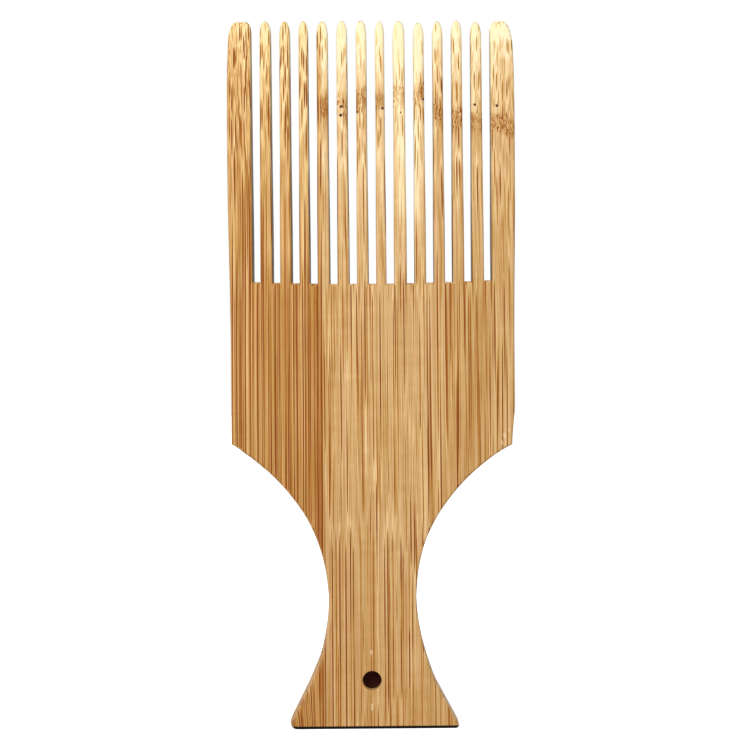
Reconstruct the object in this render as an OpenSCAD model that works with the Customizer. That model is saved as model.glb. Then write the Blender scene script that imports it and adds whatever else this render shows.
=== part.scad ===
// Hair pick with fourteen long teeth and a waisted handle, sawn in one shape from a
// board of laminated bamboo: three strips in the front layer, four in the back layer.
// The narrow waist cuts the outer front strips in two, so the corners of the foot are
// pieces of their own.
// The teeth stand up along +Z, the front face looks along -Y, and the flared foot of
// the handle stands on the plane Z = 0. X = 0 is midway between the shoulders.

/* [Board] */
// Height from the foot to the tips of the teeth
comb_height = 180; // [172:1:200]
// Thickness of the front layer of strips
front_layer = 4; // [3.5:0.25:5]
// Thickness of the back layer of strips
back_layer = 4; // [3.5:0.25:5]
// Width of the rounding to which the edges are sanded
edge_round = 0.7; // [0.4:0.1:0.9]

/* [Strips] */
// Gaps from the left up to the tooth that the left seam of the front layer splits
front_left_seam_gap_count = 4; // [3:1:5]
// Distance of that seam from the tooth's left wall
front_left_seam_inset = 1.3; // [0.9:0.1:2.1]
// Gaps from the left up to the one whose left wall the front layer's right seam follows
front_right_seam_gap_count = 10; // [9:1:11]
// Gaps from the left up to the one whose left wall the back layer's left seam follows
back_left_seam_gap_count = 2; // [2:1:2]
// Gaps from the left up to the one whose middle the back layer's right seam follows
back_right_seam_gap_count = 8; // [8:1:9]
// Gaps from the left up to the one whose middle the back layer's edge seam follows
back_edge_seam_gap_count = 13; // [12:1:13]

/* [Teeth] */
// Distance from one gap to the next
gap_pitch = 4.88; // [4.7:0.02:4.96]
// Clear width of a gap
gap_width = 1.92; // [1.5:0.02:2.3]
// Height of the gap floors at the sides of the head
floor_height = 113.1; // [105:0.5:118]
// How much deeper the saw went in the middle of the head
floor_dip = 0.6; // [0.2:0.1:1.5]
// Height at which the faces start to curve towards the tips
taper_height = 128; // [120:1:140]
// Thickness of each layer at the tips
tip_layer = 1.3; // [1:0.05:2]
// Length of the pointed end of a tooth
point_length = 3.8; // [2:0.2:6]

/* [Guard teeth and head] */
// Width of a guard tooth where it is widest
guard_tooth_width = 6.36; // [5:0.1:9]
// Length of the end of a guard tooth over which its outer side leans in
guard_end_length = 16; // [14:0.5:24]
// How far the outer side of a guard tooth leans in at its end
guard_lean = 0.45; // [0.2:0.05:0.6]
// Width of the rounded inner corner of a guard tooth
guard_inner_corner = 1.6; // [0.8:0.1:2.4]
// Width of the rounded outer corner of a guard tooth
guard_outer_corner = 2.4; // [1.2:0.1:2.8]
// How far each side of the head leans in, as a share of the height below the widest place
side_lean_share = 0.0075; // [0.004:0.0005:0.01]

/* [Handle] */
// How far the handle is set off to the left of the middle of the head
handle_shift = 0.6; // [0:0.1:1]
// Width of the handle at its waist
waist_width = 21.9; // [20:0.1:26]
// Height of the waist
waist_height = 33.2; // [32.2:0.2:36]
// Radius of the hollow from the waist up to the shoulder
shoulder_radius = 44.2; // [42:0.2:46]
// How far below the waist the middle of that hollow lies
shoulder_radius_drop = 1.2; // [0:0.1:2]
// How far the foot stands out past the waist on each side
foot_flare = 11.25; // [10:0.05:12.5]
// Angle between the straight flare at the foot and the middle line of the comb
flare_angle = 26.6; // [25:0.2:28]
// Radius of the left corner of the foot
foot_left_corner = 1.8; // [1:0.1:2.4]
// Radius of the right corner of the foot
foot_right_corner = 1; // [0.8:0.1:2.4]

/* [Hanging hole] */
// Diameter of the hole
hole_d = 4.8; // [3:0.1:6]
// Height of the hole above the foot
hole_height = 12; // [9:0.5:18]
// How far the hole is off to the left of the middle of the head
hole_shift = 0.85; // [0:0.05:1.5]
// Width of the small chamfer at each mouth of the hole
hole_chamfer = 0.25; // [0.1:0.05:0.4]

/* [Hidden] */

// Overrun of every cut past the surface that it cuts
overrun = 1;
// Straight steps in a rounded corner and in the pointed end of a tooth
corner_steps = 6;
point_steps = 12;
// Fineness of the curved faces, the hollows of the handle, the edges and the hole
face_fn = 1440;
hollow_fn = 240;
edge_fn = 32;
hole_fn = 48;
// Angle by which a hollow's cut runs past its ends
hollow_lap = 2;

// How far each gap strays from its even place, from left to right, as shares of the pitch
gap_stray_shares = [0.01, 0.04, 0.04, -0.02, 0.01, 0.02, 0.02, -0.05, 0.01, 0.01, -0.01, -0.01, 0.01];
gap_count = len(gap_stray_shares);
// Height of the rounded corners of a guard tooth, as shares of their width
guard_inner_share = 1.7;
guard_outer_share = 2.5;
// Depth of the middle of an edge's rounding, as a share of the rounding's width
ease_depth_share = 1.3;
// Largest share of a foot corner's radius that its eased edge may take
corner_ease_share = 0.75;

guard_x = (gap_count - 1) / 2 * gap_pitch + gap_width / 2 + guard_tooth_width;
widest_height = comb_height - guard_end_length;
waist_x = waist_width / 2;
hole_r = hole_d / 2;

// Angle at which the two hollows beside the handle meet at the waist, and the middle of
// the upper one, measured from the handle's middle line
waist_angle = asin(shoulder_radius_drop / shoulder_radius);
shoulder_hollow = [waist_x + shoulder_radius * cos(waist_angle), waist_height - shoulder_radius_drop];
// The lower hollow runs from the waist into the straight flare, which ends at the foot
foot_x = waist_x + foot_flare;
flare_radius = (waist_height * sin(flare_angle) - foot_flare * cos(flare_angle))
    / (1 - cos(flare_angle - waist_angle));
flare_hollow = [waist_x, waist_height] + flare_radius * [cos(waist_angle), sin(waist_angle)];
flare_top = flare_hollow - flare_radius * [cos(flare_angle), sin(flare_angle)];

// Middle, walls and floor of a gap, whose number counts from 1 at the left
function gap_x(i) = (i - (gap_count + 1) / 2 + gap_stray_shares[i - 1]) * gap_pitch;
function gap_left(i) = gap_x(i) - gap_width / 2;
function gap_right(i) = gap_x(i) + gap_width / 2;
function gap_floor(i) = floor_height - floor_dip * (1 - pow(gap_x(i) / gap_x(gap_count), 2));

// Radius of the curve by which a layer's face falls to its thickness at the tips
function taper_radius(layer) =
    (pow(comb_height - taper_height, 2) + pow(layer - tip_layer, 2)) / 2 / (layer - tip_layer);
// Height of a layer's face above the glue plane, at height y of the comb
function face_z(layer, y) =
    layer - taper_radius(layer)
    + sqrt(pow(taper_radius(layer), 2) - pow(max(y - taper_height, 0), 2));
// Radius of the rounded nose of the teeth, seen from the side
function nose_r(layer) = face_z(layer, comb_height - tip_layer);

// Points along an ellipse about c, from angle a over a sweep of s degrees
function arc(c, rx, ry, a, s, steps) =
    [for (k = [0 : steps]) c + [rx * cos(a + s * k / steps), ry * sin(a + s * k / steps)]];

// Middle of the rounding of a foot corner of radius r, and that corner's points
function corner_at(r) = [foot_x - r / tan((90 - flare_angle) / 2), r];
function corner_points(r) = arc(corner_at(r), r, r, -90, 90 + flare_angle, corner_steps);

// Outline of a guard tooth's tip, with its inner wall at x, for the right side
function guard_tip(x) = concat(
    arc([guard_x - guard_lean - guard_outer_corner, comb_height - guard_outer_corner * guard_outer_share],
        guard_outer_corner, guard_outer_corner * guard_outer_share, 0, 90, corner_steps),
    arc([x + guard_inner_corner, comb_height - guard_inner_corner * guard_inner_share],
        guard_inner_corner, guard_inner_corner * guard_inner_share, 90, 90, corner_steps));

// Outline of the pointed end of the tooth to the left of gap i
function point_outline(i) =
    let (half = (gap_left(i) - gap_right(i - 1)) / 2)
    arc([gap_left(i) - half, comb_height - point_length], half, point_length, 0, 180, point_steps);

// Mirror image of a run of points, in reverse order, so that the outline keeps its sense
function flipped(points) = [for (k = [len(points) - 1 : -1 : 0]) [-points[k].x, points[k].y]];
function shifted(points) = [for (p = points) p - [handle_shift, 0]];

// The sides of the head slant outwards up to the widest height. Each starts level with
// the waist, in the hollow that cuts it off at its shoulder.
function side_at(y) = [guard_x - (widest_height - y) * side_lean_share, y];

// Right side of the comb, from its start to a guard tooth's tip with its inner wall at x
function side_points(x) = concat([side_at(waist_height), side_at(widest_height)], guard_tip(x));

// Gaps and teeth between the two guard teeth, from right to left
teeth_outline = [for (i = [gap_count : -1 : 1]) each concat(
    [[gap_right(i), gap_floor(i)], [gap_left(i), gap_floor(i)]],
    i > 1 ? point_outline(i) : [])];

// One side of the handle before it is hollowed, whose foot corner has radius r
function handle_points(r) = concat(corner_points(r), [flare_top, [waist_x + overrun, waist_height]]);

// Outline of the blank before the handle is hollowed, counter-clockwise from the foot
blank_outline = concat(
    shifted(handle_points(foot_right_corner)),
    side_points(gap_right(gap_count)),
    teeth_outline,
    flipped(side_points(-gap_left(1))),
    shifted(flipped(handle_points(foot_left_corner))));

// Every module below up to the strips works on one layer lying on its glue face:
// x is across the comb, y along it, and z rises from the glue plane to the layer's face.

// Depth of the middle of a rounding of width w, and the radius of its arc, which meets
// the face and the side wall at a slight angle, as sanding leaves it
function ease_depth(w) = ease_depth_share * w;
function ease_radius(w) = norm([ease_depth(w), ease_depth(w) - w]);

// What a rounding of width w takes off an edge: x = 0 is the side wall, y = 0 the face
module edge_profile(w = edge_round) {
    depth = ease_depth(w);
    translate([-depth, -depth])
        difference() {
            square(depth + overrun);
            circle(ease_radius(w), $fn = edge_fn);
        }
}

// What it takes off both edges of a gap
module gap_profile() {
    depth = ease_depth(edge_round);
    reach = gap_width / 2 + depth;
    difference() {
        translate([-reach, -depth]) square([2 * reach, depth + overrun]);
        for (side = [-1, 1])
            translate([side * reach, -depth]) circle(ease_radius(edge_round), $fn = edge_fn);
    }
}

// Cuts the child profile along the straight edge from p to q, with the comb on its left
module cut_along(layer, p, q) {
    run = norm(q - p);
    translate([p.x, p.y, layer])
        rotate([0, 0, atan2(q.y - p.y, q.x - p.x) - 90])
            translate([0, run, 0])
                rotate([90, 0, 0])
                    linear_extrude(run) children();
}

// Cuts the child profile from p up the face and over its curve to the tips, along a line
// that slants outwards by so much for each unit of height
module cut_up_face(layer, p, slope = 0) {
    bend = [p.x + (taper_height - p.y) * slope, taper_height];
    radius = taper_radius(layer);
    sweep = asin((comb_height + overrun - taper_height) / radius);
    cut_along(layer, p, bend) children();
    translate([bend.x, bend.y, layer - radius])
        rotate([0, 0, -atan(slope)])
            rotate([0, -90, 0])
                rotate_extrude(angle = sweep, $fn = face_fn)
                    translate([radius, 0]) rotate(-90) children();
}

// Hollow of radius r about c, with its eased edge, from angle a over a sweep of s degrees
module hollow(layer, c, r, a, s) {
    translate([c.x, c.y, 0])
        rotate([0, 0, a])
            rotate_extrude(angle = s, $fn = hollow_fn) {
                translate([0, -overrun]) square([r, layer + 2 * overrun]);
                translate([r, layer]) mirror([1, 0]) edge_profile();
            }
}

// Both hollows on the right of the handle, and the eased edge of the flare below them
module handle_side(layer, corner_r) {
    hollow(layer, shoulder_hollow, shoulder_radius, 90 - hollow_lap, 90 + hollow_lap - waist_angle);
    hollow(layer, flare_hollow, flare_radius, 180 + waist_angle, flare_angle + hollow_lap - waist_angle);
    corner = corner_at(corner_r);
    cut_along(layer, corner + corner_r * [cos(flare_angle), sin(flare_angle)], flare_top) edge_profile();
    ease = min(edge_round, corner_r * corner_ease_share);
    translate([corner.x, corner.y, layer])
        rotate([0, 0, -90])
            rotate_extrude(angle = 90 + flare_angle, $fn = hollow_fn)
                translate([corner_r, 0]) edge_profile(ease);
}

// What the handle's sides and the foot's edge lose, if x0 to x1 reaches past the waist
module handle_cuts(layer, x0, x1) {
    reach = waist_x - edge_round;
    translate([-handle_shift, 0, 0]) {
        if (x1 > reach - handle_shift) handle_side(layer, foot_right_corner);
        if (x0 < -reach - handle_shift) mirror([1, 0, 0]) handle_side(layer, foot_left_corner);
        cut_along(layer, [-corner_at(foot_left_corner).x, 0], [corner_at(foot_right_corner).x, 0])
            edge_profile();
    }
}

// What the head loses between x0 and x1: the eased edges of its sides and of its gaps
module head_cuts(layer, x0, x1) {
    if (x1 > guard_x)
        cut_up_face(layer, side_at(waist_height), side_lean_share) edge_profile();
    if (x0 < -guard_x)
        mirror([1, 0, 0]) cut_up_face(layer, side_at(waist_height), side_lean_share) edge_profile();
    for (i = [1 : gap_count])
        if (gap_right(i) + edge_round > x0 && gap_left(i) - edge_round < x1) {
            cut_up_face(layer, [gap_x(i), gap_floor(i)]) gap_profile();
            cut_along(layer, [gap_right(i), gap_floor(i)], [gap_left(i), gap_floor(i)]) edge_profile();
        }
}

// One layer of the comb between x0 and x1 and between y0 and y1, cut from the blank
module layer_part(layer, x0, x1, y0, y1) {
    difference() {
        intersection() {
            linear_extrude(layer) polygon(blank_outline);
            translate([x0, 0, 0])
                rotate([90, 0, 90])
                    linear_extrude(x1 - x0) side_shape(layer, y0, y1);
        }
        handle_cuts(layer, x0, x1);
        if (y1 > floor_height) head_cuts(layer, x0, x1);
        if (x0 < -hole_shift && x1 > -hole_shift) hanging_hole(layer);
    }
}

// The layer seen from the side, from y0 to y1: flat, then curving to a rounded nose
module side_shape(layer, y0, y1) {
    nose = nose_r(layer);
    intersection() {
        translate([y0, 0]) square([y1 - y0, layer]);
        union() {
            square([taper_height, layer]);
            translate([taper_height, layer - taper_radius(layer)])
                circle(taper_radius(layer), $fn = face_fn);
        }
        union() {
            square([comb_height - nose, layer]);
            translate([comb_height - nose, 0]) circle(nose, $fn = hole_fn);
        }
    }
}

// Bore of the hanging hole, with a small chamfer at the layer's face
module hanging_hole(layer) {
    translate([-hole_shift, hole_height, 0]) {
        translate([0, 0, -overrun]) cylinder(h = layer + 2 * overrun, r = hole_r, $fn = hole_fn);
        translate([0, 0, layer - hole_chamfer])
            cylinder(h = hole_chamfer + overrun, r1 = hole_r, r2 = hole_r + hole_chamfer + overrun,
                     $fn = hole_fn);
    }
}

// Stands a layer up with its face to the front or to the back
module front_part(x0, x1, y0 = 0, y1 = comb_height) {
    rotate([90, 0, 0]) layer_part(front_layer, x0, x1, y0, y1);
}

module back_part(x0, x1) {
    rotate([90, 0, 0]) mirror([0, 0, 1]) layer_part(back_layer, x0, x1, 0, comb_height);
}

// Outer limit of the strips at both sides, and the seams between them
edge_x = guard_x + overrun;
front_left_seam = gap_right(front_left_seam_gap_count) + front_left_seam_inset;
front_right_seam = gap_left(front_right_seam_gap_count);
back_left_seam = gap_left(back_left_seam_gap_count);
back_right_seam = gap_x(back_right_seam_gap_count);
back_edge_seam = gap_x(back_edge_seam_gap_count);

module front_left_strip() {
    color("peru") front_part(-edge_x, front_left_seam, y0 = waist_height);
}

module front_left_foot_corner() {
    color("peru") front_part(-edge_x, front_left_seam, y1 = waist_height);
}

module front_middle_strip() {
    color("burlywood") front_part(front_left_seam, front_right_seam);
}

module front_right_strip() {
    color("tan") front_part(front_right_seam, edge_x, y0 = waist_height);
}

module front_right_foot_corner() {
    color("tan") front_part(front_right_seam, edge_x, y1 = waist_height);
}

module back_left_strip() {
    color("tan") back_part(-edge_x, back_left_seam);
}

module back_middle_strip() {
    color("burlywood") back_part(back_left_seam, back_right_seam);
}

module back_right_strip() {
    color("peru") back_part(back_right_seam, back_edge_seam);
}

module back_edge_strip() {
    color("burlywood") back_part(back_edge_seam, edge_x);
}

front_left_strip();
front_left_foot_corner();
front_middle_strip();
front_right_strip();
front_right_foot_corner();
back_left_strip();
back_middle_strip();
back_right_strip();
back_edge_strip();
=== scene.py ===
import math

import bmesh
import bpy
from bpy.props import FloatProperty, FloatVectorProperty, PointerProperty
from mathutils import Matrix, Vector


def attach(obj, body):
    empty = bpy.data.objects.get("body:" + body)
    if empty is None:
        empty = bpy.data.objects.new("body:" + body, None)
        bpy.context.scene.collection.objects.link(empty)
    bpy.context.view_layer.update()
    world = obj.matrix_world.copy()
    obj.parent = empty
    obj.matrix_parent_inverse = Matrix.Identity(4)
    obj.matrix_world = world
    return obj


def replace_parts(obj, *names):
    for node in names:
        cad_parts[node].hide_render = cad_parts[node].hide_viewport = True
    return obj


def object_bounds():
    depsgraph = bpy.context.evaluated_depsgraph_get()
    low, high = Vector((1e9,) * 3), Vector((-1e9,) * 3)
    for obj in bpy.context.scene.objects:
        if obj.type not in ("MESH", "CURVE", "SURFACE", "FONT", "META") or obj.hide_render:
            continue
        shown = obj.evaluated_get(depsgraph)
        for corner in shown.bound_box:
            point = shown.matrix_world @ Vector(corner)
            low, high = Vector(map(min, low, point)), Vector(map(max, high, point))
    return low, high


bl_info = {
    "name": "Bamboo Hair Pick",
    "version": (1, 0, 0),
    "blender": (4, 5, 0),
    "location": "3D View > Sidebar > Hair Pick",
    "description": "Builds the looks of a hair pick sawn from laminated bamboo",
    "category": "Object",
}

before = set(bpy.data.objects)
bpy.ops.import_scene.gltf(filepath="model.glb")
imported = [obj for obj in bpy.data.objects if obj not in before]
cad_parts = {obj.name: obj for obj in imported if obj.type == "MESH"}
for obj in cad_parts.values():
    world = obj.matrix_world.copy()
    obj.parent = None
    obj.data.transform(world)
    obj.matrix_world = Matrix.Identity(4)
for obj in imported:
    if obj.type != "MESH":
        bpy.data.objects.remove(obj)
CAD_LOW, CAD_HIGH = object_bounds()

MM = 0.001
PICTURE = 750  # pixels along each side of the picture
PIXEL = 0.2530 * MM  # size of one of them at the front face
AHEAD = (388.4, 389.1)  # the pixel straight ahead of the camera, from the left and from the top


def linear(red, green, blue):
    """A colour written as it looks on screen, 0 to 255, in Blender's own values."""
    shares = [v / 255 for v in (red, green, blue)]
    return tuple(v / 12.92 if v <= 0.04045 else ((v + 0.055) / 1.055) ** 2.4 for v in shares)


def length(name, description, default):
    """A size in metres, which the panel shows with its unit."""
    return FloatProperty(name=name, description=description, default=default, unit="LENGTH")


def tint(name, description, red, green, blue):
    """A colour that is given as it looks on screen, 0 to 255."""
    return FloatVectorProperty(name=name, description=description, subtype="COLOR", size=3,
                               default=linear(red, green, blue))


# How far each gap strays from its even place, from left to right, as shares of the pitch
GAP_STRAY = (0.01, 0.04, 0.04, -0.02, 0.01, 0.02, 0.02, -0.05, 0.01, 0.01, -0.01, -0.01, 0.01)
GAPS = len(GAP_STRAY)
# How far the tip of each tooth falls short of the height of the comb
TIP_DROP = [v * MM for v in (0.1, 0.0, 0.05, 0.0, 0.1, 0.0, 0.0, 0.2, 0.15, 0.7, 0.35, 0.15, 0.55, 0.4)]
# Half the width of the head at some heights, up to the place where it is widest
SIDE_HEIGHTS = [v * MM for v in (60, 100, 113, 131, 150)]
SIDE_HALF_WIDTHS = [v * MM for v in (35.95, 35.95, 36.1, 36.4, 36.5)]
# How far the hand-sanded sides of the handle stray outward from their even curve, in millimetres:
# height, left side, right side
STRAYS = (
    (0, -0.05, 0.05), (3, -0.08, -0.05), (6, -0.05, -0.4), (9, -0.12, -0.45), (12, -0.1, -0.28),
    (15, 0, -0.05), (18, -0.15, 0.12), (21, -0.12, 0.2), (24, 0, 0.22), (30, 0.05, 0.25),
    (36, 0.17, 0.22), (42, 0.12, 0.05), (48, 0.06, -0.1), (54, 0.03, 0.07), (58, 0.2, 0.28),
    (62, 0.22, 0.36), (67, 0.06, 0.42), (70, -0.5, 0.1), (71, -1.05, 0.07), (73, -2.0, 0),
)
STRAY_HEIGHTS, LEFT_STRAY, RIGHT_STRAY = ([v * MM for v in column] for column in zip(*STRAYS))
# Heights of the points along the sides of the head
HEAD_HEIGHTS = [v * MM for v in (68, 70, 71, 72, 73, 74, 75, 76, 77, 78, 80, 82, 85, 90, 100, 106, 113)]
WORN = 0.7 * MM  # how far the right shoulder is worn down
WORN_HEIGHTS = (72 * MM, 82 * MM)  # the wear fades out from one of these to the other
LEFT_CORNER, RIGHT_CORNER = 1.8 * MM, 0.9 * MM  # radius of the corners of the foot
HOLLOW_DROP = 1.2 * MM  # how far the middle of the hollow lies below the waist
SHOULDER_STEP = 0.4 * MM  # least height from the corner of a shoulder to the next point of the head
FLARE_FROM = (0.2 * MM, 3 * MM)  # the wider rounding of the left flare sets in between these heights
FLARE_TO = (26 * MM, 38 * MM)  # and fades out between these
# The board reaches up to this height, where the gaps start to widen and the teeth are drawn on
STUB_TOP = 122 * MM
WIDE_FROM = 150 * MM  # height from which a gap has all its widening
# Width and height of the rounded corners of a guard tooth: beside the gap, then outside
LEFT_GUARD = ((1.5 * MM, 2.6 * MM), (2.0 * MM, 4.6 * MM))
RIGHT_GUARD = ((1.8 * MM, 3.0 * MM), (2.6 * MM, 6.4 * MM))
GUARD_FALL = 0.45 * MM  # how far the outer side of a guard tooth draws in towards its tip
GUARD_FALL_FROM = 164 * MM  # height from which it does
TIP_HALF = 0.12 * MM  # half the thickness that is left at the very tip of a tooth
MOUTH_ROUND = 0.3 * MM  # rounding of the mouths of the hole
SHARP = math.radians(50)  # an edge that is bent by more than this is shaded sharp
FLAT_WEIGHT = 60  # how much the shading along an edge follows the larger face, where 50 is even
LEFT_SEAM = 1.3 * MM  # how far the left seam of the front layer lies to the right of gap 4
SEAM_IN_GAP = 0.02 * MM  # a seam at the left wall of a gap lies so far inside the gap
# Steps round half of the hole, a corner of the foot, its flare, and the hollow above the waist
HOLE_STEPS, CORNER_STEPS, FLARE_STEPS, HOLLOW_STEPS = 24, 8, 20, 60
MOUTH_STEPS, EDGE_STEPS = 2, 4  # steps across the rounding of the hole's mouths and of the other edges
SHAFT_RINGS, TIP_RINGS = 18, 14  # rings of a tooth along its shaft and towards its tip
TIP_REACH = 3 * MM  # the closer rings start this far below the pointed end of a tooth
ROOT_MARGIN = 0.1 * MM  # edges this far outside a tooth's limits still belong to its root
LAST_RING = 0.01 * MM  # how far the last ring of a tooth stays below its top
ROUND_SHARE = 0.85  # the most of a tooth's half width or half thickness that its rounding takes
# How near two places have to be to count as one, in metres: a level, a plane, a point
SAME_LEVEL, SAME_PLANE, SAME_POINT = 1e-6, 1e-8, 1e-7


class CombSizes(bpy.types.PropertyGroup):
    """Sizes of the comb, as the board was sawn and sanded."""
    height: length("Height", "From the foot to the tips of the teeth", CAD_HIGH.z - CAD_LOW.z)
    layer: length("Layer", "Thickness of each of the two layers of strips", CAD_HIGH.y)
    edge_round: length("Edge Rounding", "Width of the rounding of the sanded edges", 0.7 * MM)
    flare_round: length(
        "Flare Rounding", "Width of the wider rounding of the left flare of the foot", 2.2 * MM)
    gap_pitch: length("Gap Pitch", "Distance from one gap to the next", 4.88 * MM)
    gap_width: length("Gap Width", "Clear width of a gap", 1.92 * MM)
    gap_widening: length(
        "Gap Widening", "How much wider a gap is between the sanded ends of the teeth", 0.25 * MM)
    floor_height: length("Gap Floor Height", "Height of the gap floors at the sides of the head", 113.35 * MM)
    floor_dip: length("Gap Floor Dip", "How much deeper the saw went in the middle of the head", 0.6 * MM)
    taper_height: length("Taper Height", "Height at which the faces start to curve to the tips", 128 * MM)
    tip_layer: length("Tip Layer", "Thickness of each layer at the tips", 1.3 * MM)
    point_length: length("Point Length", "Length of the pointed end of a tooth", 3.8 * MM)
    handle_shift: length("Handle Shift", "How far the handle is set off to the left", 0.6 * MM)
    waist_width: length("Waist Width", "Width of the handle at its waist", 21.9 * MM)
    waist_height: length("Waist Height", "Height of the waist above the foot", 33.2 * MM)
    shoulder_radius: length(
        "Shoulder Radius", "Radius of the hollow from the waist to the shoulder", 44.2 * MM)
    foot_flare: length("Foot Flare", "How far the foot stands out past the waist on each side", 11.25 * MM)
    flare_angle: FloatProperty(
        name="Flare Angle", description="Angle of the straight flare of the foot",
        default=math.radians(26.6), subtype="ANGLE")
    hole_diameter: length("Hole Diameter", "Diameter of the hanging hole", 4.8 * MM)
    hole_height: length("Hole Height", "Height of the hanging hole above the foot", 12.25 * MM)
    hole_shift: length("Hole Shift", "How far the hanging hole is off to the left", 0.85 * MM)


class BambooLook(bpy.types.PropertyGroup):
    """Colours and finish of the bamboo."""
    darkest: tint("Darkest Fibre", "Cores of the strongest fibre bundles", 130, 60, 0)
    fibre: tint("Fibre", "Fibre bundles", 161, 99, 20)
    amber: tint("Amber", "Darker ground tissue", 190, 144, 80)
    tan: tint("Tan", "Ground tissue between the fibres", 208, 165, 109)
    pale: tint("Pale", "Pale ground tissue", 227, 188, 132)
    # Painted highlight: the tone reaches these colours towards the tips, where it is painted paler for the
    # light from above
    light: tint("Light", "Ground tissue of the sanded teeth", 245, 215, 163)
    cream: tint("Cream", "Palest tissue at the tips of the teeth", 254, 238, 194)
    blush: tint("Blush", "Reddish tinge of some threads of the ground tissue", 208, 150, 112)
    straw: tint("Straw", "Greyer stripes", 204, 174, 118)
    ember: tint("Ember", "Redder fibre bundles", 168, 98, 22)
    resin: tint("Resin Tint", "Tint of the fibre bundles", 255, 247, 165)
    warm: tint("Warm Tint", "Tint of the orange-brown strips", 251, 242, 220)
    # Painted shade: the grey that the rounded outer edges take where they turn away from the light
    rim: tint("Rim", "Greyed rounding of the outer edges", 206, 180, 148)
    # Painted shade: this colour darkens the walls of the gaps and the outer rim, where they lie in shade
    wall_shade: tint("Scorch", "Walls of the gaps, browned by the saw, and dirt on the outer rim", 50, 28, 18)
    glue: tint("Glue", "Lines of glue between the strips", 44, 20, 8)
    # Painted shade: the dark of the pits stands in for the shade inside these tiny holes
    pit: tint("Pit", "Pits in the knuckles", 76, 14, 2)
    # Painted shade: the dark line where the lower rim of the foot turns down towards the floor
    foot_shade: tint("Grime", "Dark lower rim of the foot", 14, 6, 3)
    roughness: FloatProperty(
        name="Roughness", description="Roughness of the waxed face",
        default=0.48, min=0, max=1, subtype="FACTOR")


class StudioSetup(bpy.types.PropertyGroup):
    """Lamps and camera of the studio."""
    distance: length("Camera Distance", "From the camera to the front face", 488 * MM)
    key_power: FloatProperty(
        name="Key Lamp", description="Power of the soft lamp at the upper left",
        default=8.3, unit="POWER")
    fill_power: FloatProperty(
        name="Fill Lamp", description="Power of the weak lamp at the right",
        default=1.9, unit="POWER")
    room: FloatProperty(
        name="Room Light", description="Strength of the even light of the room",
        default=0.33, min=0)


# What follows lays out the comb in its own plane: x across, z up.

def gap_x(s, i):
    """Middle of gap i, which counts from 1 at the left."""
    return (i - (GAPS + 1) / 2 + GAP_STRAY[i - 1]) * s.gap_pitch


def gap_floor(s, i):
    return s.floor_height - s.floor_dip * (1 - (gap_x(s, i) / gap_x(s, GAPS)) ** 2)


def interpolate(at, places, values):
    """Value at a place, on the straight lines between the values that are given."""
    if at <= places[0]:
        return values[0]
    for low, high, a, b in zip(places, places[1:], values, values[1:]):
        if at <= high:
            return a + (b - a) * (at - low) / (high - low)
    return values[-1]


def smooth_step(value, low, high):
    t = min(max((value - low) / (high - low), 0), 1)
    return t * t * (3 - 2 * t)


def arc(centre, r, start, sweep, steps):
    """Points along a circle, with angles in radians."""
    angles = [start + sweep * k / steps for k in range(steps + 1)]
    return [(centre[0] + r * math.cos(a), centre[1] + r * math.sin(a)) for a in angles]


def handle_side(s, corner):
    """Right side of the handle from the foot to the shoulder, measured from its middle line."""
    waist = s.waist_width / 2
    tilt = math.asin(HOLLOW_DROP / s.shoulder_radius)
    foot = waist + s.foot_flare
    hollow = (waist + s.shoulder_radius * math.cos(tilt), s.waist_height - HOLLOW_DROP)
    flare_r = ((s.waist_height * math.sin(s.flare_angle) - s.foot_flare * math.cos(s.flare_angle))
               / (1 - math.cos(s.flare_angle - tilt)))
    flare = (waist + flare_r * math.cos(tilt), s.waist_height + flare_r * math.sin(tilt))
    middle = (foot - corner / math.tan((math.pi / 2 - s.flare_angle) / 2), corner)
    points = arc(middle, corner, -math.pi / 2, math.pi / 2 + s.flare_angle, CORNER_STEPS)
    points += arc(flare, flare_r, math.pi + s.flare_angle, tilt - s.flare_angle, FLARE_STEPS)
    return points + arc(hollow, s.shoulder_radius, math.pi - tilt, tilt - math.pi / 2, HOLLOW_STEPS)[1:]


def head_side(side, top):
    """One side of the head from the hollow to a height, for the right or, with side -1, the left."""
    worn = WORN if side > 0 else 0
    points = []
    for z in HEAD_HEIGHTS + [top]:
        x = interpolate(z, SIDE_HEIGHTS, SIDE_HALF_WIDTHS)
        points.append((x - worn * (1 - smooth_step(z, *WORN_HEIGHTS)), z))
    return points


def side_outline(s, side, corner):
    """Outline of one side from the foot's corner to the teeth's roots, with side 1 for the right."""
    stray = RIGHT_STRAY if side > 0 else LEFT_STRAY
    handle = [(x - side * s.handle_shift + interpolate(z, STRAY_HEIGHTS, stray), z)
              for x, z in handle_side(s, corner)]
    head = head_side(side, STUB_TOP)
    reaches, heights = zip(*head)

    def edge(z):
        return interpolate(z, heights, reaches)

    inside = [p for p in handle if p[0] < edge(p[1])]
    last, first_out = inside[-1], handle[len(inside)]
    share = (edge(last[1]) - last[0]) / (first_out[0] - last[0])
    shoulder = last[1] + (first_out[1] - last[1]) * share
    points = inside + [(edge(shoulder), shoulder)] + [p for p in head if p[1] > shoulder + SHOULDER_STEP]
    return [(side * x, z) for x, z in points]


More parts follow.
